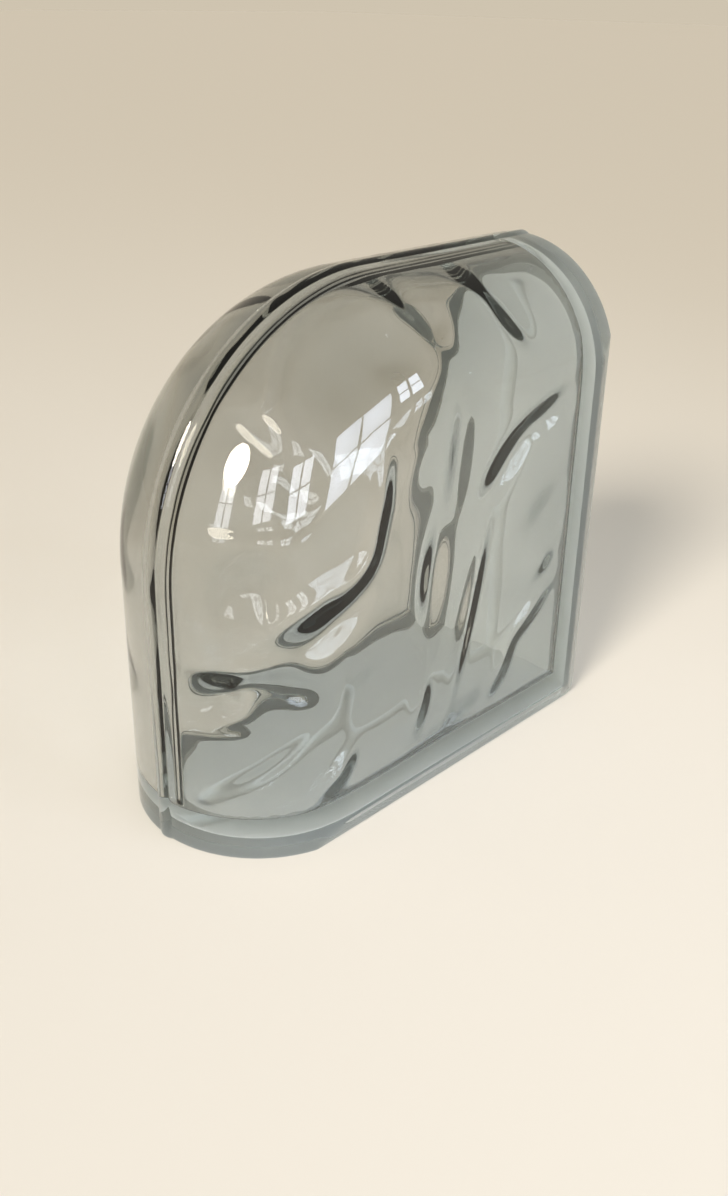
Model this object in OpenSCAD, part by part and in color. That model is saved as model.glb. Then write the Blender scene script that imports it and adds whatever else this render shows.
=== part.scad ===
// Hollow glass block for the open end of a panel, standing on a laying side.
// Two pressed halves are fused at a seam in the middle of the thickness, so the block is one sealed piece.
// The left and top edges are finished half-round noses that meet in one large rounded corner.
// The bottom and right edges are laying sides, with bevelled rims and a recess that keys the mortar.

/* [Block] */
// Width and height, over the crest of the seam bead
block_side = 197; // [170:1:300]
// Thickness over the two faces
block_t = 98; // [80:1:110]
// Radius of the large rounded corner, measured to the nose
corner_r = 97; // [70:1:120]

/* [Seam] */
// Width of the bead of glass that the seam leaves on the noses
bead_w = 6.5; // [4:0.5:10]
// Height of the seam bead above the nose
bead_rise = 1; // [0.5:0.1:2]
// Height of the matching ridge inside the hollow
ridge_h = 2; // [0.5:0.1:4]
// Half width of that inner ridge
ridge_w = 5; // [3:0.5:10]

/* [Laying sides] */
// Width of the bevel up the faces, beside a laying side
bevel_w = 8.5; // [4:0.5:15]
// Depth of that bevel into the thickness
bevel_depth = 3; // [1:0.5:6]
// Radius of the corner where the two laying sides meet
laying_r = 5; // [2:0.5:10]
// Width of the flat rim that the block rests on
rim_w = 10; // [6:0.5:18]
// Depth of the mortar recess between the rims
key_depth = 3; // [1:0.5:5]
// Radius of the seam weld that runs along the recess
weld_r = 4; // [3:0.5:8]
// Distance that the weld stays below the rims
weld_drop = 0.8; // [0.5:0.1:2]

/* [Hollow] */
// Thickness of the glass at the faces
face_wall = 8; // [6:0.5:14]
// Thickness of the glass at the crest of the noses
nose_wall = 9; // [7:0.5:16]
// Thickness of the glass from a laying side to the hollow
laying_wall = 13; // [10:0.5:22]
// Taper of the hollow's walls beside the laying sides, over their depth
wall_draft = 2; // [0.5:0.5:5]
// Size of the fillet between those walls and the faces
wall_fillet = 4; // [2:0.5:8]

/* [Waves] */
// Height that the waves inside the faces are measured by
wave_h = 3; // [0:0.1:4]
// Height of the rear waves, as a part of the front ones
rear_share = 0.5; // [0:0.05:1]

/* [Hidden] */

nose_r = block_t / 2;
nose_x = bead_rise + nose_r;
corner_c = bead_rise + corner_r;
// Distance from the centre of the large corner to the middle of a nose, and to a laying side
nose_at = corner_r - nose_r;
foot_h = block_side - corner_c;
arc_sides = 180;
// How far a cut runs past the surface that it opens
clear = 1;

// Circle of the bead: it stands bead_rise above the nose and is bead_w wide where it meets it
bead_sag = nose_r - sqrt(nose_r * nose_r - bead_w * bead_w / 4);
bead_up = bead_rise + bead_sag;
bead_r = (bead_w * bead_w / 4 + bead_up * bead_up) / (2 * bead_up);
// How far the bevel's plane moves out over the clear of a cut
bevel_clear = clear * bevel_depth / bevel_w;

// The mortar recess has walls at 45 degrees
key_half = nose_r - bevel_depth - rim_w;
weld_axis = weld_drop + weld_r;
// Distance from the other laying side where the weld ends, inside the rounded corner
weld_end = weld_drop + 0.3 * laying_r;

// The hollow is a grid of stations, alike along the width and down the height
hollow_d = nose_r - face_wall;
nose_in = nose_r - nose_wall;
wall_at = block_side - laying_wall;
face_end = wall_at - wall_draft - wall_fillet;
nose_angles = [0, 4, 8, 14, 22, 32, 42, 52, 62, 72, 82, 90];
grid_step = 5;
corner_steps = ceil((corner_c - nose_x) / grid_step);
face_steps = ceil((face_end - corner_c) / grid_step);

// Each station holds its distance from the finished edge, the most that the hollow reaches from the seam,
// and the share of a wave that moves its skin away from that edge, on the noses
stations = concat(
    [for (a = nose_angles) [nose_x - nose_in * cos(a), hollow_d * sin(a), sin(2 * a)]],
    [for (k = [1 : corner_steps]) [nose_x + (corner_c - nose_x) * k / corner_steps, hollow_d, 0]],
    [for (k = [1 : face_steps]) [corner_c + (face_end - corner_c) * k / face_steps, hollow_d, 0]],
    [[wall_at - wall_draft, hollow_d - wall_fillet, 0], [wall_at, 0, 0]]
);
grid = len(stations);
last = grid - 1;
corner_at = len(nose_angles) + corner_steps - 1;

// Waves pressed inside the faces: distance from the left and top edges, half length, half width,
// direction in degrees up from the width, and height as a part of wave_h (above 0 is thicker glass)
WAVES = [
    [64, 29, 18, 15, 30, 1.2],
    [44, 80, 16, 12, 65, 0.6],
    [84, 25, 12, 8, -5, 0.9],
    [36, 60, 10, 8, 60, 0.8],
    [31, 47, 8, 6, 60, 0.7],
    [31, 38, 7, 4.5, 65, 0.55],
    [63.5, 73, 17, 4.5, 76, -0.75],
    [54, 93, 10, 4.5, 45, -0.65],
    [36, 100, 13, 4.5, 30, -0.65],
    [45, 108, 15, 7, 33, 1],
    [20, 90, 11, 8, 80, 1],
    [13, 134, 9, 5, 80, 1.4],
    [19, 121, 12, 4, 10, -0.7],
    [33, 130, 10, 6, -40, 0.6],
    [95, 106, 17, 6, 85, 0.6],
    [116.5, 127, 28, 3.5, 77, -0.5],
    [156, 143, 13, 4, 35, -0.6],
    [140, 161, 11, 4, 60, -0.6],
    [159, 59, 15, 5.5, 18, 0.7],
    [136, 72, 14, 6, 39, 0.85],
    [105, 20, 10, 7, -30, 0.55],
    [131, 15, 9, 4, 5, -0.4],
    [148, 24, 9, 6, -45, 0.65],
    [90, 14, 8, 4, 10, -0.4],
    [89.5, 158, 9, 4, 75, -0.65],
    [46, 169, 9, 4, 45, -0.8],
    [161, 121, 8, 6, 30, -0.4],
    [22, 164, 14, 2.5, 47, 0.3],
    [20, 71, 13, 4, 0, 0.5],
    [107, 62, 24, 6, 84, 0.4],
    [64, 142, 22, 14, 20, 0.5],
    [120, 178, 30, 9, 10, 0.45],
    [165, 100, 16, 10, 30, 0.4],
    [80, 60, 12, 10, 60, -0.3]
];

// Height of one wave at a point of the face
function wave_at(w, p, q) =
    let (
        along = ((p - w[0]) * cos(w[4]) - (q - w[1]) * sin(w[4])) / w[2],
        across = ((p - w[0]) * sin(w[4]) + (q - w[1]) * cos(w[4])) / w[3]
    )
    w[5] * exp(-along * along - across * across);

// Height of all the waves together at a point of the face
function waves(p, q) = wave_h * [for (w = WAVES) wave_at(w, p, q)] * [for (w = WAVES) 1];

// How far the sealing ridge reaches into the hollow, at a given reach from the seam
function ridge(reach) = reach < ridge_w ? ridge_h * (1 + cos(180 * reach / ridge_w)) / 2 : 0;

// Distance of the hollow's skin from the finished edge at a station; ridge and waves stop at the walls
function inset(k, across, relief) =
    let (shift = ridge(stations[k][1]) + relief * stations[k][2])
    stations[k][0] + (max(k, across) < last ? shift : 0);

// Direction round the large corner, from 0 at the left edge to 90 at the top edge
function turn(i, j) =
    let (room = corner_c - stations[min(i, j)][0])
    room < 0.001 ? 45 : 45 * (1 + (stations[i][0] - stations[j][0]) / room);

// Place on the face of the grid point at stations i along and j down, where the glass is thicker by relief
function place(i, j, relief) =
    let (ring = corner_c - inset(min(i, j), max(i, j), relief), a = turn(i, j))
    i <= corner_at && j <= corner_at
        ? [corner_c - ring * cos(a), corner_c - ring * sin(a)]
        : [inset(i, j, relief), inset(j, i, relief)];

// Skin of one half at a grid point, with the half's side of the seam, and waves that fade towards the seam
function skin(i, j, side, relief) =
    let (
        at = place(i, j, relief),
        reach = min(stations[i][1], stations[j][1]) * (1 - relief / hollow_d)
    )
    [at[0] - corner_c, side * reach, corner_c - at[1]];

// The rear waves mirror the front ones in the diagonal, as one mould turned over leaves them, but softer
function front_point(i, j) =
    let (at = place(i, j, 0))
    skin(i, j, -1, waves(at[0], at[1]));
function rear_point(i, j) =
    let (at = place(i, j, 0))
    skin(i, j, 1, rear_share * waves(at[1], at[0]));

// The two skins share the points on the seam, at the rim of the grid
function on_rim(i, j) = i == 0 || j == 0 || i == last || j == last;
function front_index(i, j) = i * grid + j;
function rear_index(i, j) =
    on_rim(i, j) ? front_index(i, j) : grid * grid + (i - 1) * (grid - 2) + j - 1;

// Two triangles of a grid cell, split so that each has a point off the seam
function cell_faces(i, j, a, b, c, d) =
    (i < last / 2) == (j < last / 2) ? [[a, b, c], [a, c, d]] : [[a, b, d], [b, c, d]];

// Sealed hollow between the two pressed halves
module hollow() {
    front = [for (i = [0 : last]) for (j = [0 : last]) front_point(i, j)];
    rear = [for (i = [1 : last - 1]) for (j = [1 : last - 1]) rear_point(i, j)];
    front_faces = [
        for (i = [0 : last - 1])
            for (j = [0 : last - 1])
                each cell_faces(i, j,
                    front_index(i, j),
                    front_index(i + 1, j),
                    front_index(i + 1, j + 1),
                    front_index(i, j + 1))
    ];
    rear_faces = [
        for (i = [0 : last - 1])
            for (j = [0 : last - 1])
                each cell_faces(i, j,
                    rear_index(i, j),
                    rear_index(i, j + 1),
                    rear_index(i + 1, j + 1),
                    rear_index(i + 1, j))
    ];
    polyhedron(points = concat(front, rear), faces = concat(front_faces, rear_faces));
}

// Section across a finished edge, from the inside out, with the seam bead on the crest of its nose
module nose_section() {
    translate([0, -nose_r]) square([nose_at, block_t]);
    translate([nose_at, 0])
        intersection() {
            circle(r = nose_r, $fn = arc_sides);
            translate([0, -nose_r - clear]) square([nose_r + clear, block_t + 2 * clear]);
        }
    translate([corner_c - bead_r, 0]) circle(r = bead_r, $fn = arc_sides);
}

// Upright finished edge, from the bottom laying side to the large corner
module nose_column() {
    translate([0, 0, -foot_h])
        linear_extrude(foot_h)
            rotate(180) nose_section();
}

// Large rounded corner between the two finished edges
module round_corner() {
    rotate([90, 0, 0])
        rotate(90)
            rotate_extrude(angle = 90, $fn = arc_sides) nose_section();
}

// Turns a shape over about the diagonal, which swaps the left edge with the top and the bottom with the right
module turned_over() {
    rotate([0, 90, 180]) children();
}

// Slab beside the two laying sides, with the corner between them rounded
module laying_corner() {
    translate([0, nose_r, 0])
        rotate([90, 0, 0])
            linear_extrude(block_t) {
                polygon([
                    [0, 0],
                    [foot_h, 0],
                    [foot_h, laying_r - foot_h],
                    [foot_h - laying_r, laying_r - foot_h],
                    [foot_h - laying_r, -foot_h],
                    [0, -foot_h]
                ]);
                translate([foot_h - laying_r, laying_r - foot_h])
                    intersection() {
                        circle(r = laying_r, $fn = arc_sides);
                        translate([0, -laying_r - clear]) square(laying_r + clear);
                    }
            }
}

// Wedge along the rear face at the bottom, cut by a plane that runs out on the nose
module bevel_wedge() {
    translate([-corner_c - clear, 0, -foot_h])
        rotate([90, 0, 90])
            linear_extrude(corner_c + foot_h + 2 * clear)
                polygon([
                    [nose_r - bevel_depth - bevel_clear, -clear],
                    [nose_r + bevel_clear, -clear],
                    [nose_r + bevel_clear, bevel_w + clear]
                ]);
}

// The wedges of both faces, which leave the bevels beside the bottom laying side
module bevels() {
    bevel_wedge();
    mirror([0, 1, 0]) bevel_wedge();
}

// Half of the section across the mortar recess, deep enough below the rims to cut them clean
module key_half_section() {
    polygon([
        [0, -foot_h - clear],
        [key_half + clear, -foot_h - clear],
        [key_half - key_depth, key_depth - foot_h],
        [0, key_depth - foot_h]
    ]);
}

// Mortar recess along the bottom, with a round end inside the nose's rim
module mortar_key() {
    translate([-nose_at, 0, 0])
        rotate(90)
            rotate_extrude(angle = 180, $fn = arc_sides) key_half_section();
    translate([-nose_at, 0, 0])
        rotate([90, 0, 90])
            linear_extrude(nose_at + foot_h + clear) {
                key_half_section();
                mirror([1, 0]) key_half_section();
            }
}

// Weld of the seam along the bottom recess
module seam_weld() {
    translate([-nose_at - key_half, 0, weld_axis - foot_h])
        rotate([0, 90, 0])
            cylinder(r = weld_r, h = key_half + nose_at + foot_h - weld_end, $fn = arc_sides);
}

// The fused block, built about the centre of its large corner
module glass_block() {
    color("lightcyan", 0.5)
        translate([corner_c - block_side / 2, 0, foot_h])
            difference() {
                union() {
                    difference() {
                        union() {
                            nose_column();
                            turned_over() nose_column();
                            round_corner();
                            laying_corner();
                        }
                        bevels();
                        turned_over() bevels();
                        mortar_key();
                        turned_over() mortar_key();
                    }
                    seam_weld();
                    turned_over() seam_weld();
                }
                hollow();
            }
}

glass_block();
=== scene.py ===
"""Dresses a hollow glass block: pressed clear glass with wavy insides, standing on a pale studio floor."""

import logging
import math
from dataclasses import dataclass, field
from enum import Enum

import bmesh
import bpy
import numpy as np
from mathutils import Matrix, Vector


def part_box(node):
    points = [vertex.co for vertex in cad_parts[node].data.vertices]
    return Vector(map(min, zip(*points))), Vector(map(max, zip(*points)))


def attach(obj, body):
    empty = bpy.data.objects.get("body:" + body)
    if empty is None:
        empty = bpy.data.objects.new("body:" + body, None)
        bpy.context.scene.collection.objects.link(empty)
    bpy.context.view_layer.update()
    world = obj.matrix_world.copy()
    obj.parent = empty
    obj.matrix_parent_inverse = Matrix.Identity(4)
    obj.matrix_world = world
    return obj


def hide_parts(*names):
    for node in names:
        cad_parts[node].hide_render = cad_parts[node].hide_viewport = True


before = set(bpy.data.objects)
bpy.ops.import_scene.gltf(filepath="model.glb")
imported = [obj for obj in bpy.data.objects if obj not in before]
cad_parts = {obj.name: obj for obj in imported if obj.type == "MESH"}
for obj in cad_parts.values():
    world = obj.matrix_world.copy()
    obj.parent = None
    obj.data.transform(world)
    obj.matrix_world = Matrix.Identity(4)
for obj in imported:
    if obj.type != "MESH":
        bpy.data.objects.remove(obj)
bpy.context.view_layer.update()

log = logging.getLogger("glass_block")

MM = 0.001
PHOTO_W = 728
PHOTO_H = 1196
SENSOR_MM = 36.0
NODE = "glass_block"

# Points nearer than this are one point, and an edge shorter than the second length is dropped
MERGE_MM = 0.004
SLIVER_MM = 0.001

# Steps of the outer skin: over the bead, round the nose and across the two parts of a face
BEAD_STEPS = 21
NOSE_STEPS = 35
OUTER_FACE_STEPS = 14

# Steps of the hollow: beside the ridge, round the nose, across the two parts of a face and down the wall
RIDGE_DEG = 9.0
RIDGE_STEPS = 12
HOLLOW_NOSE_STEPS = 54
CORNER_STEPS = 32
FACE_STEPS = 52
FILLET_STEPS = 6
WALL_STEPS = 10

# Steps of the laying sides: round an edge, down the bevel as shares of it, and round their common corner
EDGE_STEPS = 6
BEVEL_SHARES = (0.5, 0.8, 0.92)
TURN_STEPS = 6
# How far the recess's outline runs on over its floor, and the rows from there to the seam, which lie
# closer over the weld
FLOOR_START_MM = 2.0
FLOOR_ROWS_MM = (20, 12, 7, 5, 4.2, 3.8, 3.5, 3.0, 2.4, 1.7, 0.9, 0)


class Half(Enum):
    """The two pressed halves, by the side of the seam that they lie on."""

    FRONT = -1.0
    REAR = 1.0


class LayingSide(Enum):
    """The two sides that take mortar."""

    BOTTOM = "bottom"
    UPRIGHT = "upright"


class Surface(Enum):
    """The three finishes of the glass, by their material slot."""

    POLISHED = 0
    RIM = 1
    RECESS = 2


def linear(hex_colour: str) -> tuple[float, float, float, float]:
    """Turns an sRGB hex colour to linear light.

    Args:
        hex_colour: the colour as "#RRGGBB".

    Returns:
        Linear red, green, blue and an alpha of 1.
    """
    parts = [int(hex_colour[k : k + 2], 16) / 255 for k in (1, 3, 5)]
    light = [c / 12.92 if c <= 0.04045 else ((c + 0.055) / 1.055) ** 2.4 for c in parts]
    return (light[0], light[1], light[2], 1.0)


def add_node(
    tree: bpy.types.NodeTree,
    kind: str,
    settings: dict[str, object] | None = None,
    links: dict[str, bpy.types.NodeSocket] | None = None,
) -> bpy.types.Node:
    """Adds one node with its settings and links.

    Args:
        tree: the node tree that takes the node.
        kind: the node's type name.
        settings: values for its sockets, or for its own properties where no socket has that name.
        links: the output that feeds each named socket.

    Returns:
        The new node.
    """
    node = tree.nodes.new(kind)
    for name, value in (settings or {}).items():
        if name in node.inputs:
            node.inputs[name].default_value = value
        else:
            setattr(node, name, value)
    for name, source in (links or {}).items():
        tree.links.new(source, node.inputs[name])
    return node


def new_material(name: str) -> tuple[bpy.types.Material, bpy.types.NodeTree]:
    """Makes an empty node material.

    Args:
        name: the material's name.

    Returns:
        The material and its node tree.
    """
    material = bpy.data.materials.new(name)
    material.use_nodes = True
    material.node_tree.nodes.clear()
    return material, material.node_tree


@dataclass(frozen=True)
class SodaLimeMelt:
    """The clear soda-lime glass itself.

    Across a face it looks clear, and along the noses and rims its depth shows grey-green.
    """

    ior: float = 1.52
    cast: str = "#E4E6E5"
    density_per_m: float = 100.0

    def finish(self, tree: bpy.types.NodeTree, skin: bpy.types.Node, shade: str) -> None:
        """Sends a skin and the glass behind it to the output, with shadows as light as clear glass throws.

        Args:
            tree: the material's node tree.
            skin: the shader of the skin.
            shade: the share of a lamp's light that the skin lets through, as a colour.
        """
        path = add_node(tree, "ShaderNodeLightPath")
        clear = add_node(tree, "ShaderNodeBsdfTransparent", {"Color": linear(shade)})
        mixed = add_node(tree, "ShaderNodeMixShader", None, {"Fac": path.outputs["Is Shadow Ray"]})
        tree.links.new(skin.outputs["BSDF"], mixed.inputs[1])
        tree.links.new(clear.outputs["BSDF"], mixed.inputs[2])
        depth = add_node(
            tree,
            "ShaderNodeVolumeAbsorption",
            {"Color": linear(self.cast), "Density": self.density_per_m},
        )
        add_node(
            tree,
            "ShaderNodeOutputMaterial",
            None,
            {"Surface": mixed.outputs["Shader"], "Volume": depth.outputs["Volume"]},
        )


@dataclass(frozen=True)
class FirePolishedGlass:
    """Clear soda-lime glass, pressed in a mould and fire polished.

    To the eye it is clear, and its skin is bright with a slow ripple.
    """

    name: str = "soda_lime_glass_fire_polished"
    melt: SodaLimeMelt = SodaLimeMelt()
    tint: str = "#F6F6F5"
    shade: str = "#FAFAFA"
    roughness: float = 0.015
    ripple_mm: float = 14.0
    ripple_rise_mm: float = 0.05
    ripple_detail: float = 1.0
    ripple_falloff: float = 0.4

    def material(self) -> bpy.types.Material:
        """Makes the glass, with its ripple as bump."""
        material, tree = new_material(self.name)
        place = add_node(tree, "ShaderNodeTexCoord")
        ripple = add_node(
            tree,
            "ShaderNodeTexNoise",
            {
                "Scale": 1 / (self.ripple_mm * MM),
                "Detail": self.ripple_detail,
                "Roughness": self.ripple_falloff,
            },
            {"Vector": place.outputs["Object"]},
        )
        bump = add_node(
            tree,
            "ShaderNodeBump",
            {"Strength": 1.0, "Distance": self.ripple_rise_mm * MM},
            {"Height": ripple.outputs["Fac"]},
        )
        glass = add_node(
            tree,
            "ShaderNodeBsdfPrincipled",
            {
                "Base Color": linear(self.tint),
                "Roughness": self.roughness,
                "IOR": self.melt.ior,
                "Transmission Weight": 1.0,
            },
            {"Normal": bump.outputs["Normal"]},
        )
        self.melt.finish(tree, glass, self.shade)
        return material


@dataclass(frozen=True)
class MouldedGlass:
    """The same glass as the mould left it on the laying sides, neither polished nor ground.

    Its fine grit scatters light, so the sides look milky where they are seen through the faces.
    The mould is rough in the mortar recess, which is whiter than the rims.
    """

    name: str
    tint: str
    clearness: float
    melt: SodaLimeMelt = SodaLimeMelt()
    shade: str = "#E9EAE8"
    roughness: float = 0.45
    grit_mm: float = 1.2
    grit_rise_mm: float = 0.05
    grit_detail: float = 3.0
    grit_strength: float = 0.6

    def material(self) -> bpy.types.Material:
        """Makes the milky glass, with its grit as bump."""
        material, tree = new_material(self.name)
        place = add_node(tree, "ShaderNodeTexCoord")
        grit = add_node(
            tree,
            "ShaderNodeTexNoise",
            {"Scale": 1 / (self.grit_mm * MM), "Detail": self.grit_detail},
            {"Vector": place.outputs["Object"]},
        )
        bump = add_node(
            tree,
            "ShaderNodeBump",
            {"Strength": self.grit_strength, "Distance": self.grit_rise_mm * MM},
            {"Height": grit.outputs["Fac"]},
        )
        glass = add_node(
            tree,
            "ShaderNodeBsdfPrincipled",
            {
                "Base Color": linear(self.tint),
                "Roughness": self.roughness,
                "IOR": self.melt.ior,
                "Transmission Weight": self.clearness,
            },
            {"Normal": bump.outputs["Normal"]},
        )
        self.melt.finish(tree, glass, self.shade)
        return material


RIM_GLASS = MouldedGlass("soda_lime_glass_mould_satin", "#C0C6C6", clearness=0.6)
RECESS_GLASS = MouldedGlass("soda_lime_glass_mould_frosted", "#F3F5F6", clearness=0.1)


@dataclass(frozen=True)
class MattePaper:
    """Pale matte studio paper: even and soft, with a faint tooth."""

    name: str = "studio_paper_matte"
    colour: str = "#E6E1D7"
    roughness: float = 0.9
    specular: float = 0.2
    tooth_mm: float = 3.0
    tooth_rise_mm: float = 0.02
    tooth_detail: float = 2.0
    tooth_strength: float = 0.3

    def material(self) -> bpy.types.Material:
        """Makes the paper, with its tooth as bump."""
        material, tree = new_material(self.name)
        place = add_node(tree, "ShaderNodeTexCoord")
        tooth = add_node(
            tree,
            "ShaderNodeTexNoise",
            {"Scale": 1 / (self.tooth_mm * MM), "Detail": self.tooth_detail},
            {"Vector": place.outputs["Object"]},
        )
        bump = add_node(
            tree,
            "ShaderNodeBump",
            {"Strength": self.tooth_strength, "Distance": self.tooth_rise_mm * MM},
            {"Height": tooth.outputs["Fac"]},
        )
        paper = add_node(
            tree,
            "ShaderNodeBsdfPrincipled",
            {
                "Base Color": linear(self.colour),
                "Roughness": self.roughness,
                "Specular IOR Level": self.specular,
            },
            {"Normal": bump.outputs["Normal"]},
        )
        add_node(tree, "ShaderNodeOutputMaterial", None, {"Surface": paper.outputs["BSDF"]})
        return material


@dataclass(frozen=True)
class Wave:
    """One wave pressed inside a face, in millimetres from the left and top edges.

    Above 0 its rise is thicker glass. Its slant is in degrees up from the width.
    """

    along: float
    down: float
    half_length: float
    half_width: float
    slant: float
    rise: float

    def height(self, p: np.ndarray, q: np.ndarray) -> np.ndarray:
        """Gives the wave's height.

        Args:
            p: distances from the left edge.
            q: distances from the top edge.

        Returns:
            The height at each point, in millimetres.
        """
        turn = math.radians(self.slant)
        dp, dq = p - self.along, q - self.down
        u = (dp * math.cos(turn) - dq * math.sin(turn)) / self.half_length
        v = (dp * math.sin(turn) + dq * math.cos(turn)) / self.half_width
        return self.rise * np.exp(-u * u - v * v)


WAVES = (
    Wave(64, 29, 18, 15, 30, 3.6),
    Wave(44, 80, 16, 12, 65, 1.8),
    Wave(84, 25, 12, 8, -5, 2.7),
    Wave(36, 60, 10, 8, 60, 2.4),
    Wave(31, 47, 8, 6, 60, 2.1),
    Wave(31, 38, 7, 4.5, 65, 1.65),
    Wave(63.5, 73, 17, 4.5, 76, -2.25),
    Wave(54, 93, 10, 4.5, 45, -1.95),
    Wave(36, 100, 13, 4.5, 30, -1.95),
    Wave(45, 108, 15, 7, 33, 3),
    Wave(20, 90, 11, 8, 80, 3),
    Wave(13, 134, 9, 5, 80, 4.2),
    Wave(19, 121, 12, 4, 10, -2.1),
    Wave(33, 130, 10, 6, -40, 1.8),
    Wave(95, 106, 17, 6, 85, 1.8),
    Wave(116.5, 127, 28, 3.5, 77, -1.5),
    Wave(156, 143, 13, 4, 35, -1.8),
    Wave(140, 161, 11, 4, 60, -1.8),
    Wave(159, 59, 15, 5.5, 18, 2.1),
    Wave(136, 72, 14, 6, 39, 2.55),
    Wave(105, 20, 10, 7, -30, 1.65),
    Wave(131, 15, 9, 4, 5, -1.2),
    Wave(148, 24, 9, 6, -45, 1.95),
    Wave(90, 14, 8, 4, 10, -1.2),
    Wave(89.5, 158, 9, 4, 75, -1.95),
    Wave(46, 169, 9, 4, 45, -2.4),
    Wave(161, 121, 8, 6, 30, -1.2),
    Wave(22, 164, 14, 2.5, 47, 0.9),
    Wave(20, 71, 13, 4, 0, 1.5),
    Wave(107, 62, 24, 6, 84, 1.2),
    Wave(64, 142, 22, 14, 20, 1.5),
    Wave(120, 178, 30, 9, 10, 1.35),
    Wave(165, 100, 16, 10, 30, 1.2),
    Wave(80, 60, 12, 10, 60, -0.9),
)

# Fine relief that rides on the waves: short flutes, small dips and swells that flatten a wave's slope,
# up to about a millimetre high
FINE_RELIEF = (
    Wave(15.5, 97, 8, 1.8, 86, 0.45),
    Wave(24, 97, 8, 1.8, 96, 0.45),
    Wave(14, 150, 7, 2.2, 12, -0.5),
    Wave(17.5, 145, 3, 2, 40, 0.4),
    Wave(19, 121, 12, 4, 10, 0.9),
    Wave(36, 100, 13, 4.5, 30, 0.5),
    Wave(112, 24, 6, 4, 30, -0.7),
)


def rounded(points: list[tuple[float, float]], radii: list[float], steps: int) -> np.ndarray:
    """Rounds the corners of an open outline with arcs.

    Args:
        points: the outline's points.
        radii: the radius of each corner, without the two ends.
        steps: the number of straight steps in each arc.

    Returns:
        The rounded outline, one row a point.
    """
    rows = [np.array(points[0])]
    for k, radius in enumerate(radii, start=1):
        corner = np.array(points[k])
        back = np.array(points[k - 1]) - corner
        on = np.array(points[k + 1]) - corner
        back, on = back / np.linalg.norm(back), on / np.linalg.norm(on)
        half_angle = math.acos(float(np.clip(back @ on, -1, 1))) / 2
        centre = corner + (back + on) / np.linalg.norm(back + on) * radius / math.sin(half_angle)
        start = corner + back * radius / math.tan(half_angle) - centre
        sweep = math.pi - 2 * half_angle
        sign = math.copysign(1.0, back[1] * on[0] - back[0] * on[1])
        for t in np.linspace(0, sign * sweep, steps + 1):
            c, s = math.cos(t), math.sin(t)
            rows.append(centre + np.array([c * start[0] - s * start[1], s * start[0] + c * start[1]]))
    rows.append(np.array(points[-1]))
    return np.array(rows)


@dataclass
class Shell:
    """A closed skin of glass, gathered from grids of points."""

    points: list[np.ndarray] = field(default_factory=list)
    quads: list[np.ndarray] = field(default_factory=list)
    finishes: list[np.ndarray] = field(default_factory=list)

    def add(self, grid: np.ndarray, finish: np.ndarray | None = None) -> None:
        """Adds a grid of points as quads.

        Args:
            grid: points in metres, by row, column and axis.
            finish: the material slot of each row of quads, where it isn't the polished one.
        """
        rows, columns = grid.shape[:2]
        start = sum(len(p) for p in self.points)
        index = start + np.arange(rows * columns).reshape(rows, columns)
        corners = (index[:-1, :-1], index[1:, :-1], index[1:, 1:], index[:-1, 1:])
        self.points.append(grid.reshape(-1, 3))
        self.quads.append(np.stack(corners, axis=-1).reshape(-1, 4))
        row_finish = np.zeros(rows - 1, int) if finish is None else finish
        self.finishes.append(np.repeat(row_finish, columns - 1))

    def mesh(self, name: str, inward: bool) -> bpy.types.Mesh:
        """Joins the grids into one smooth closed mesh.

        Args:
            name: the mesh's name.
            inward: whether the skin's outside is the hollow that it encloses.

        Returns:
            The mesh.
        """
        mesh = bpy.data.meshes.new(name)
        quads = np.concatenate(self.quads)
        mesh.from_pydata(np.concatenate(self.points).tolist(), [], quads.tolist())
        mesh.polygons.foreach_set("material_index", np.concatenate(self.finishes))
        work = bmesh.new()
        work.from_mesh(mesh)
        bmesh.ops.remove_doubles(work, verts=work.verts[:], dist=MERGE_MM * MM)
        bmesh.ops.dissolve_degenerate(work, edges=work.edges[:], dist=SLIVER_MM * MM)
        bmesh.ops.recalc_face_normals(work, faces=work.faces[:])
        if inward:
            bmesh.ops.reverse_faces(work, faces=work.faces[:])
        for face in work.faces:
            face.smooth = True
        open_edges = sum(1 for edge in work.edges if len(edge.link_faces) != 2)
        log.info("%s: %d faces, %d open edges", name, len(work.faces), open_edges)
        work.to_mesh(mesh)
        work.free()
        return mesh


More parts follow.
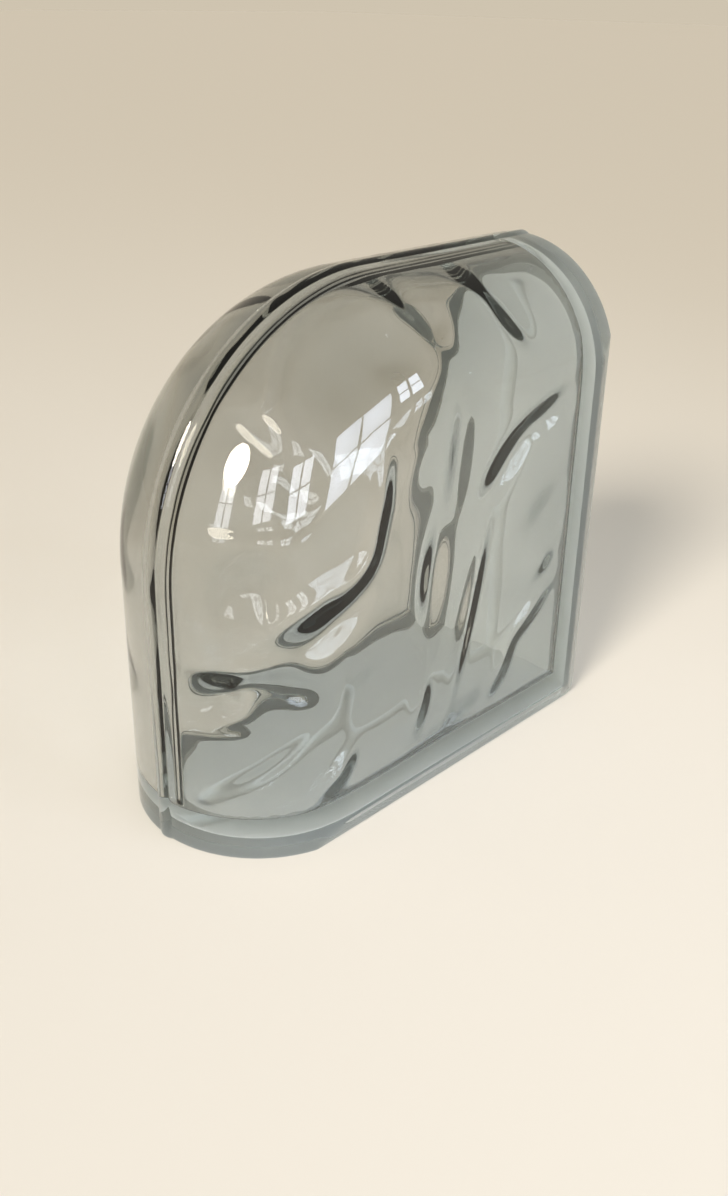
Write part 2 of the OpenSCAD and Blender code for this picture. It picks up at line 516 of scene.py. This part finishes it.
@dataclass
class GlassBlock:
    """The fused block: its outer skin, and the wavy skin of the hollow inside. Sizes in millimetres."""

    side: float
    thickness: float
    corner_r: float = 97.0
    bead_w: float = 6.5
    bead_rise: float = 1.0
    bead_foot_round: float = 0.12
    ridge_h: float = 2.0
    ridge_w: float = 5.0
    bevel_w: float = 8.5
    bevel_depth: float = 3.0
    laying_r: float = 5.0
    rim_w: float = 10.0
    key_depth: float = 3.0
    weld_r: float = 4.0
    weld_drop: float = 0.8
    face_wall: float = 8.0
    nose_wall: float = 9.0
    laying_wall: float = 13.0
    wall_draft: float = 2.0
    wall_fillet: float = 4.0
    rear_share: float = 0.5
    nose_edge_round: float = 1.5
    face_edge_round: float = 3.0
    rim_edge_round: float = 1.2
    key_edge_round: float = 0.8
    waves: tuple[Wave, ...] = WAVES + FINE_RELIEF

    def __post_init__(self) -> None:
        """Works out the sizes that follow from the others."""
        self.nose_r = self.thickness / 2
        self.nose_x = self.bead_rise + self.nose_r
        self.corner_c = self.bead_rise + self.corner_r
        self.hollow_d = self.nose_r - self.face_wall
        self.nose_in = self.nose_r - self.nose_wall
        self.wall_at = self.side - self.laying_wall
        self.face_end = self.wall_at - self.wall_draft - self.wall_fillet
        self.foot_top = self.bevel_w + self.face_edge_round

    def to_frame(self, p: np.ndarray, q: np.ndarray, y: np.ndarray) -> np.ndarray:
        """Moves points from the block's edges to the shared frame.

        Args:
            p: distances from the left edge, in millimetres.
            q: distances from the top edge, in millimetres.
            y: distances behind the seam, in millimetres.

        Returns:
            The points in metres, with the axes last.
        """
        return np.stack([p - self.side / 2, y, self.side - q], axis=-1) * MM

    def spread(
        self, along: np.ndarray, inset_a: np.ndarray, inset_b: np.ndarray
    ) -> tuple[np.ndarray, np.ndarray]:
        """Bends a square grid of stations round the large corner.

        Args:
            along: each station's distance from the finished edge.
            inset_a: how far the skin lies from the left edge at each grid point.
            inset_b: how far it lies from the top edge there.

        Returns:
            The distances from the left and the top edge at each grid point.
        """
        a, b = np.meshgrid(along, along, indexing="ij")
        room = np.maximum(self.corner_c - np.minimum(a, b), 1e-9)
        turn = math.pi / 4 * (1 + (a - b) / room)
        ring = self.corner_c - np.where(a <= b, inset_a, inset_b)
        in_corner = (a <= self.corner_c) & (b <= self.corner_c)
        p = np.where(in_corner, self.corner_c - ring * np.cos(turn), inset_a)
        q = np.where(in_corner, self.corner_c - ring * np.sin(turn), inset_b)
        return p, q

    def bead_bump(self, angle: np.ndarray) -> np.ndarray:
        """Gives how far the seam bead stands out of the half-round nose.

        Args:
            angle: the angle from the crest of the nose, in radians.

        Returns:
            The height above the nose, in millimetres.
        """
        sag = self.nose_r - math.sqrt(self.nose_r**2 - self.bead_w**2 / 4)
        rise = self.bead_rise + sag
        radius = (self.bead_w**2 / 4 + rise**2) / (2 * rise)
        centre = self.nose_x - radius
        inside = radius**2 - (centre * np.sin(angle)) ** 2
        out = centre * np.cos(angle) + np.sqrt(np.maximum(inside, 0)) - self.nose_r
        out = np.where(inside > 0, out, -1.0)
        return (out + np.sqrt(out**2 + self.bead_foot_round**2)) / 2

    def outer_stations(self) -> tuple[np.ndarray, np.ndarray, np.ndarray]:
        """Lists the stations of the outer skin, from the seam over the nose and across the face.

        Returns:
            For each station the nose angle, the bead's height and the distance of its centre from the edge.
        """
        crest = self.bead_w / self.nose_r
        over_bead = np.linspace(0, crest, BEAD_STEPS + 1)
        nose = np.concatenate([over_bead, np.linspace(crest, math.pi / 2, NOSE_STEPS + 1)[1:]])
        to_corner = np.linspace(self.nose_x, self.corner_c, OUTER_FACE_STEPS + 1)[1:]
        to_foot = np.linspace(self.corner_c, self.side - self.foot_top, OUTER_FACE_STEPS + 1)[1:]
        flat = np.concatenate([to_corner, to_foot])
        angle = np.concatenate([nose, np.full(len(flat), math.pi / 2)])
        centre = np.concatenate([np.full(len(nose), self.nose_x), flat])
        return angle, self.bead_bump(angle), centre

    def outer_skin(self) -> Shell:
        """Makes the outer skin: noses, large corner, faces and the two laying sides."""
        shell = Shell()
        angle, bump, centre = self.outer_stations()
        radius = self.nose_r + bump
        along, reach = centre - radius * np.cos(angle), radius * np.sin(angle)
        p, q = self.spread(along, *np.meshgrid(along, along, indexing="ij"))
        depth = np.minimum(*np.meshgrid(reach, reach, indexing="ij"))
        for half in Half:
            shell.add(self.to_frame(p, q, half.value * depth))
            for laying in LayingSide:
                self.add_foot(shell, half, laying, angle, bump, centre)
        return shell

    def add_foot(
        self,
        shell: Shell,
        half: Half,
        laying: LayingSide,
        angle: np.ndarray,
        bump: np.ndarray,
        centre: np.ndarray,
    ) -> None:
        """Adds one half of a laying side: bevel, rim, mortar recess and the weld along its middle.

        Args:
            shell: the skin that takes it.
            half: the pressed half that it belongs to.
            laying: the laying side.
            angle: the nose angle of each outer station.
            bump: the bead's height at each outer station.
            centre: the distance of each station's centre from the finished edge.
        """
        rim_in = self.bevel_depth + self.rim_w
        floor_in = rim_in + self.key_depth
        outline = rounded(
            [
                (0.0, self.foot_top),
                (0.0, self.bevel_w),
                (self.bevel_depth, 0.0),
                (rim_in, 0.0),
                (floor_in, self.key_depth),
                (floor_in + FLOOR_START_MM, self.key_depth),
            ],
            [self.face_edge_round, self.rim_edge_round, self.key_edge_round, self.rim_edge_round],
            EDGE_STEPS,
        )
        steep = int(np.argmax(outline[:, 1] < self.bevel_w / 2))
        bevel = outline[steep] - outline[steep - 1]
        extra = [outline[steep - 1] + bevel * part for part in BEVEL_SHARES]
        outline = np.vstack([outline[:steep], extra, outline[steep:]])
        step_in, rise = outline[:, :1], outline[:, 1:]
        low = np.maximum(self.nose_edge_round - rise, 0)
        tuck = self.nose_edge_round - np.sqrt(self.nose_edge_round**2 - low**2)
        radius = self.nose_r + bump - tuck
        edge_p = centre - radius * np.cos(angle)
        edge_y = np.minimum(radius * np.sin(angle), self.nose_r - np.minimum(step_in, self.bevel_depth))
        key_r = self.nose_r - np.maximum(step_in, rim_in)
        share = np.clip((step_in - self.bevel_depth) / self.rim_w, 0, 1)
        p = edge_p + (centre - key_r * np.cos(angle) - edge_p) * share
        y = edge_y + (key_r * np.sin(angle) - edge_y) * share
        z = np.broadcast_to(rise, p.shape)
        floor_share = np.array(FLOOR_ROWS_MM) / y[-1, -1]
        floor_y = y[-1] * floor_share[:, None]
        floor_p = np.broadcast_to(p[-1], floor_y.shape)
        floor_z = self.weld_profile(floor_p, floor_y)
        p, y, z = np.vstack([p, floor_p]), np.vstack([y, floor_y]), np.vstack([z, floor_z])
        swing = np.radians(np.linspace(0, 45, TURN_STEPS + 1))
        level = z[:, -1:]
        turn_r = self.laying_r * np.clip(1 - level / self.laying_r, 0, 1)
        p = np.hstack([p, self.side - level - turn_r * (1 - np.sin(swing))])
        q = np.hstack([self.side - z, self.side - level - turn_r * (1 - np.cos(swing))])
        y = np.hstack([y, np.repeat(y[:, -1:], len(swing), axis=1)])
        if laying is LayingSide.UPRIGHT:
            p, q = q, p
        finish = np.full(len(p) - 1, Surface.RECESS.value)
        finish[: int(np.argmax(outline[:, 0] >= floor_in))] = Surface.RIM.value
        finish[: int(np.argmax(outline[:, 0] >= self.bevel_depth))] = Surface.POLISHED.value
        shell.add(self.to_frame(p, q, half.value * y), finish)

    def weld_profile(self, p: np.ndarray, y: np.ndarray) -> np.ndarray:
        """Gives the height of the mortar recess's floor, with the weld of the seam on it.

        Args:
            p: distances along the laying side, in millimetres.
            y: distances from the seam, in millimetres.

        Returns:
            The height above the rims' plane, in millimetres.
        """
        axis = self.weld_drop + self.weld_r
        arc = axis - np.sqrt(np.maximum(self.weld_r**2 - y**2, 0))
        stand = np.where(np.abs(y) < self.weld_r, np.maximum(self.key_depth - arc, 0), 0)
        start = np.clip((p - p.min()) / self.weld_r, 0, 1)
        return self.key_depth - stand * start * start * (3 - 2 * start)

    def relief(self, p: np.ndarray, q: np.ndarray) -> np.ndarray:
        """Adds up the waves inside a face.

        Args:
            p: distances from the left edge, in millimetres.
            q: distances from the top edge, in millimetres.

        Returns:
            How much thicker the glass is at each point, in millimetres.
        """
        return sum(wave.height(p, q) for wave in self.waves)

    def inner_stations(self) -> tuple[np.ndarray, np.ndarray, np.ndarray]:
        """Lists the stations of the hollow, from the seam over the nose, across the face and down the wall.

        Returns:
            Each station's distance from the finished edge, the hollow's reach from the seam there, and
            how much of a wave moves the skin away from the edge.
        """
        by_ridge = np.linspace(0, RIDGE_DEG, RIDGE_STEPS + 1)
        nose = np.radians(np.concatenate([by_ridge, np.linspace(RIDGE_DEG, 90, HOLLOW_NOSE_STEPS + 1)[1:]]))
        fillet = np.radians(np.linspace(0, 90, FILLET_STEPS + 1)[1:])
        wall = np.linspace(0, 1, WALL_STEPS + 1)[1:]
        shoulder = self.hollow_d - self.wall_fillet
        along = [
            self.nose_x - self.nose_in * np.cos(nose),
            np.linspace(self.nose_x, self.corner_c, CORNER_STEPS + 1)[1:],
            np.linspace(self.corner_c, self.face_end, FACE_STEPS + 1)[1:],
            self.face_end + self.wall_fillet * np.sin(fillet),
            self.wall_at - self.wall_draft * (1 - wall),
        ]
        reach = [
            self.hollow_d * np.sin(nose),
            np.full(CORNER_STEPS + FACE_STEPS, self.hollow_d),
            shoulder + self.wall_fillet * np.cos(fillet),
            shoulder * (1 - wall),
        ]
        swing = np.zeros(sum(len(part) for part in along))
        swing[: len(nose)] = np.sin(2 * nose)
        return np.concatenate(along), np.concatenate(reach), swing

    def inner_skin(self) -> Shell:
        """Makes the skin of the hollow, with the waves of each half and the ridge along the seam."""
        shell = Shell()
        along, reach, swing = self.inner_stations()
        ridge = self.ridge_h * (1 + np.cos(np.pi * np.clip(reach / self.ridge_w, 0, 1))) / 2
        ridge = np.where(along < self.nose_x, ridge, 0.0)
        keep = np.where(along > self.face_end, reach / self.hollow_d, 1.0)
        a, b = np.meshgrid(along, along, indexing="ij")
        keep_a, keep_b = np.meshgrid(keep, keep, indexing="ij")
        ridge_a, ridge_b = np.meshgrid(ridge, ridge, indexing="ij")
        swing_a, swing_b = np.meshgrid(swing, swing, indexing="ij")
        depth = np.minimum(*np.meshgrid(reach, reach, indexing="ij"))
        p, q = self.spread(along, a + ridge_a * keep_b, b + ridge_b * keep_a)
        for half in Half:
            waves = self.relief(p, q) if half is Half.FRONT else self.relief(q, p) * self.rear_share
            inset_a = a + (ridge_a + waves * swing_a) * keep_b
            inset_b = b + (ridge_b + waves * swing_b) * keep_a
            skin = self.spread(along, inset_a, inset_b)
            shell.add(self.to_frame(*skin, half.value * depth * (1 - waves / self.hollow_d)))
        return shell

    def build(self) -> bpy.types.Object:
        """Builds the block as one piece of two closed skins.

        Returns:
            The finished piece, in place of its solid.
        """
        outer = self.outer_skin().mesh("outer_skin", inward=False)
        inner = self.inner_skin().mesh("hollow_skin", inward=True)
        join = bmesh.new()
        join.from_mesh(outer)
        join.from_mesh(inner)
        mesh = bpy.data.meshes.new("pressed_glass_block")
        join.to_mesh(mesh)
        join.free()
        bpy.data.meshes.remove(outer)
        bpy.data.meshes.remove(inner)
        piece = bpy.data.objects.new("pressed_glass_block", mesh)
        bpy.context.scene.collection.objects.link(piece)
        return piece

    def dress(self, piece: bpy.types.Object) -> None:
        """Gives the piece its three finishes and ties it to the frame.

        Args:
            piece: the block's piece.
        """
        finishes = {
            Surface.POLISHED: FirePolishedGlass(),
            Surface.RIM: RIM_GLASS,
            Surface.RECESS: RECESS_GLASS,
        }
        for surface in Surface:
            piece.data.materials.append(finishes[surface].material())
        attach(piece, "root")
        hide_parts(NODE)


class LampKind(Enum):
    """The kinds of studio lamp."""

    SOFT_SUN = "SUN"
    WINDOW = "AREA"


@dataclass(frozen=True)
class Lamp:
    """One lamp, at a place in metres and aimed at a point.

    A sun's size is in degrees and a window's in metres. The spread is in radians, and a sun has none.
    """

    name: str
    kind: LampKind
    place: tuple[float, float, float]
    aim: tuple[float, float, float]
    power: float
    size: tuple[float, float]
    colour: str
    spread: float = math.pi

    def build(self) -> bpy.types.Object:
        """Makes the lamp and returns it."""
        light = bpy.data.lights.new(self.name, self.kind.value)
        light.energy = self.power
        light.color = linear(self.colour)[:3]
        if self.kind is LampKind.SOFT_SUN:
            light.angle = math.radians(self.size[0])
        else:
            light.shape = "RECTANGLE"
            light.size, light.size_y = self.size
            light.spread = self.spread
        lamp = bpy.data.objects.new(self.name, light)
        toward = Vector(self.aim) - Vector(self.place)
        lamp.location = self.place
        lamp.rotation_euler = toward.to_track_quat("-Z", "Y").to_euler()
        bpy.context.scene.collection.objects.link(lamp)
        return lamp


@dataclass(frozen=True)
class Window:
    """One window of the room, with a bar across its middle each way.

    Its bearing and rise are in degrees round and above the block, and its sizes are in metres. It is set
    back in its wall, so its light spreads within a cone round the block and leaves the floor below it.
    """

    name: str
    bearing: float
    rise: float
    width: float
    height: float
    glow: float
    colour: str
    away: float = 1.6
    bar: float = 0.03
    spread_deg: float = 60.0
    aim: tuple[float, float, float] = (0.0, 0.0, 0.1)

    def build(self) -> None:
        """Makes the window's four panes as lamps."""
        turn = math.radians(self.bearing)
        out = Vector((math.cos(turn), math.sin(turn), math.tan(math.radians(self.rise)))) * self.away
        across = Vector((-math.sin(turn), math.cos(turn), 0.0)) * self.width / 4
        up = Vector((0.0, 0.0, self.height / 4))
        size = (self.width / 2 - self.bar, self.height / 2 - self.bar)
        half_spread = math.radians(self.spread_deg) / 2
        gain = math.tan(half_spread) / (math.tan(half_spread) - half_spread)
        power = self.glow * math.pi * size[0] * size[1] / gain
        aim = Vector(self.aim)
        for name, side, lift in (("nw", -1, 1), ("ne", 1, 1), ("sw", -1, -1), ("se", 1, -1)):
            Lamp(
                f"{self.name}_{name}",
                LampKind.WINDOW,
                tuple(aim + out + across * side + up * lift),
                self.aim,
                power,
                size,
                self.colour,
                2 * half_spread,
            ).build()


@dataclass
class Studio:
    """A pale floor under soft light, in a room with a row of windows before the block.

    The room is as pale as the far floor at the horizon. It darkens up to overhead_at, which is the sine of
    the angle above the horizon.
    """

    floor_m: float = 30.0
    floor_gap_mm: float = 0.1
    horizon: str = "#CFC4B0"
    overhead: str = "#9E9B92"
    overhead_at: float = 0.6
    lamps: tuple[Lamp, ...] = (
        Lamp("soft_key", LampKind.SOFT_SUN, (-2.0, -0.5, 1.35), (0, 0, 0), 2.5, (18, 0), "#FFF4E6"),
    )
    windows: tuple[Window, ...] = (
        Window("right_window", -56, 22, 0.3, 0.34, 14, "#E4EEFF"),
        Window("front_window", -78, 14, 0.8, 0.8, 12, "#E4EEFF"),
        Window("near_window", -112, 16, 0.4, 0.66, 12, "#EEF4FF"),
        Window("left_window", -136, 20, 0.4, 0.66, 10, "#F6F8FF"),
        Window("far_window", -166, 18, 0.34, 0.56, 8, "#F6F8FF"),
    )

    def floor(self) -> bpy.types.Object:
        """Makes the floor, a hair below the rims so that the two surfaces stay apart, and returns it."""
        half, low = self.floor_m / 2, -self.floor_gap_mm * MM
        corners = [(-half, -half, low), (half, -half, low), (half, half, low), (-half, half, low)]
        mesh = bpy.data.meshes.new("studio_floor")
        mesh.from_pydata(corners, [], [(0, 1, 2, 3)])
        mesh.materials.append(MattePaper().material())
        floor = bpy.data.objects.new("studio_floor", mesh)
        bpy.context.scene.collection.objects.link(floor)
        return floor

    def room(self) -> None:
        """Makes the room's soft light, pale at the horizon and darker overhead."""
        world = bpy.data.worlds.new("studio_room")
        bpy.context.scene.world = world
        world.use_nodes = True
        tree = world.node_tree
        tree.nodes.clear()
        place = add_node(tree, "ShaderNodeTexCoord")
        axes = add_node(tree, "ShaderNodeSeparateXYZ", None, {"Vector": place.outputs["Generated"]})
        shade = add_node(tree, "ShaderNodeValToRGB", None, {"Fac": axes.outputs["Z"]})
        ramp = shade.color_ramp
        ramp.elements[0].position, ramp.elements[0].color = 0.0, linear(self.horizon)
        ramp.elements[1].position, ramp.elements[1].color = self.overhead_at, linear(self.overhead)
        light = add_node(tree, "ShaderNodeBackground", None, {"Color": shade.outputs["Color"]})
        add_node(tree, "ShaderNodeOutputWorld", None, {"Surface": light.outputs["Background"]})

    def build(self) -> None:
        """Builds the floor, the room and the lamps."""
        self.floor()
        self.room()
        for source in (*self.lamps, *self.windows):
            source.build()
            log.info("light %s", source.name)


@dataclass(frozen=True)
class PhotoCamera:
    """The camera of the photograph: place and aim in metres, and pixel values in its 728 x 1196 frame."""

    place: tuple[float, float, float] = (-0.31605, -0.30032, 0.28042)
    aim: tuple[float, float, float] = (-0.00867, -0.01618, 0.06438)
    roll_deg: float = 1.191
    focal_px: float = 1215.2
    axis_px: tuple[float, float] = (364.84, 619.88)
    clip_start_m: float = 0.01

    def build(self) -> bpy.types.Object:
        """Makes the scene's camera and returns it."""
        lens = bpy.data.cameras.new("photo_camera")
        lens.sensor_width = SENSOR_MM
        lens.lens = self.focal_px / PHOTO_H * SENSOR_MM
        lens.shift_x = (PHOTO_W / 2 - self.axis_px[0]) / PHOTO_H
        lens.shift_y = (self.axis_px[1] - PHOTO_H / 2) / PHOTO_H
        lens.clip_start = self.clip_start_m
        camera = bpy.data.objects.new("photo_camera", lens)
        toward = Vector(self.aim) - Vector(self.place)
        level = toward.to_track_quat("-Z", "Y").to_matrix().to_4x4()
        roll = Matrix.Rotation(math.radians(self.roll_deg), 4, "Z")
        camera.matrix_world = Matrix.Translation(self.place) @ level @ roll
        bpy.context.scene.collection.objects.link(camera)
        bpy.context.scene.camera = camera
        return camera


def main() -> None:
    """Builds the camera, the block and the studio in order."""
    logging.basicConfig(level=logging.INFO, format="%(message)s")
    bpy.context.scene.view_settings.view_transform = "Standard"
    PhotoCamera().build()
    low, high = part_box(NODE)
    block = GlassBlock(side=(high.z - low.z) / MM, thickness=(high.y - low.y) / MM)
    piece = block.build()
    block.dress(piece)
    log.info("piece %s: %d faces", piece.name, len(piece.data.polygons))
    Studio().build()


if __name__ == "__main__":
    main()
